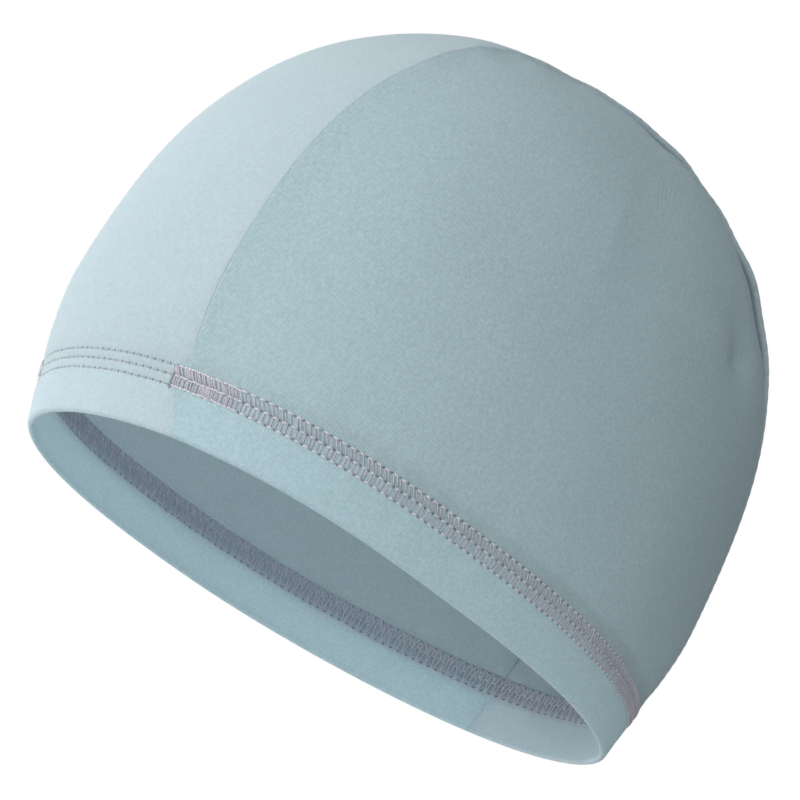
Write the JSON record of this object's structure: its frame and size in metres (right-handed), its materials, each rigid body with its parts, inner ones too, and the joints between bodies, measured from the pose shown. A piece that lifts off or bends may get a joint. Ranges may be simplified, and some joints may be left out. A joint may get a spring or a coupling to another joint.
{
  "type": "cycling skull cap",
  "caption": "Close-fitting stretch jersey skull cap without a peak: a centre strip and side panels over the crown, and a stitched turned-up hem round the head opening.",
  "frame": {"origin": "middle of the head opening, at the mean level of the hem's folded edge", "axes": "+Z to the crown, -Y to the forehead, +X to the wearer's left, the side that faces the picture's camera"},
  "size_m": [0.156, 0.2015, 0.1581],
  "materials": {
    "jersey": "fine matte knit, pale grey-green",
    "thread": "soft matte polyester thread, lavender grey"
  },
  "bodies": {
    "root": {"centre_panel": "jersey", "left_panel": "jersey", "right_panel": "jersey"}
  },
  "joints": []
}
